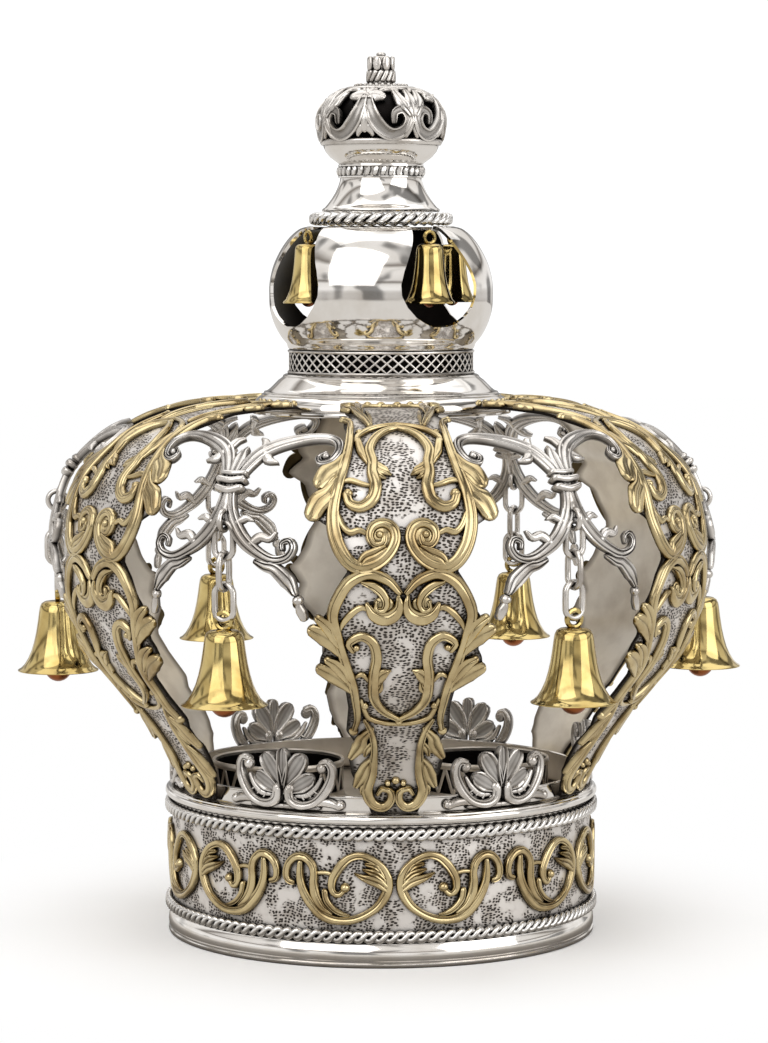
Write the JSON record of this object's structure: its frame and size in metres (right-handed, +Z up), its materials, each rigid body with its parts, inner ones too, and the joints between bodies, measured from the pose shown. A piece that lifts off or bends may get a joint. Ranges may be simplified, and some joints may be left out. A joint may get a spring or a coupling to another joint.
{
  "type": "torah crown",
  "caption": "Silver torah crown with gilt scrollwork: hammered arms rise from a banded ring to a globe and bud, with hanging bells between them.",
  "frame": {"origin": "centre of the base ring's underside", "axes": "+Z up, +X across the two roller sleeves, -Y towards the front arm"},
  "size_m": [0.3294, 0.3038, 0.3985],
  "materials": {
    "silver": "polished silver, blackened in its recesses",
    "silver_hammered": "hammered silver with an oxidised ground",
    "silver_dull": "satin silver, never polished",
    "gilt": "pale gilding over cast silver",
    "bell_gold": "bright polished gilding"
  },
  "bodies": {
    "root": {"base_ring": "silver", "lower_rope": "silver", "upper_rope": "silver", "roller_plate": "silver_dull", "roller_sleeve_left": "silver", "roller_sleeve_right": "silver", "band_scroll_1": "gilt", "arm_plate_1": "silver_hammered", "arm_scrollwork_1": "gilt", "bracket_1": "silver", "chain_1": "silver", "bell_1": "bell_gold", "shell_1": "silver", "band_scroll_2": "gilt", "arm_plate_2": "silver_hammered", "arm_scrollwork_2": "gilt", "bracket_2": "silver", "chain_2": "silver", "bell_2": "bell_gold", "shell_2": "silver", "band_scroll_3": "gilt", "arm_plate_3": "silver_hammered", "arm_scrollwork_3": "gilt", "bracket_3": "silver", "chain_3": "silver", "bell_3": "bell_gold", "shell_3": "silver", "band_scroll_4": "gilt", "arm_plate_4": "silver_hammered", "arm_scrollwork_4": "gilt", "bracket_4": "silver", "chain_4": "silver", "bell_4": "bell_gold", "shell_4": "silver", "band_scroll_5": "gilt", "arm_plate_5": "silver_hammered", "arm_scrollwork_5": "gilt", "bracket_5": "silver", "chain_5": "silver", "bell_5": "bell_gold", "shell_5": "silver", "band_scroll_6": "gilt", "arm_plate_6": "silver_hammered", "arm_scrollwork_6": "gilt", "bracket_6": "silver", "chain_6": "silver", "bell_6": "bell_gold", "shell_6": "silver", "canopy": "silver", "lattice_gallery": "silver", "globe": "silver", "globe_rope": "silver", "globe_bell_1": "bell_gold", "globe_bell_2": "bell_gold", "globe_bell_3": "bell_gold", "globe_bell_4": "bell_gold", "neck_and_cup": "silver", "openwork_bud": "silver", "finial": "silver"}
  },
  "joints": []
}
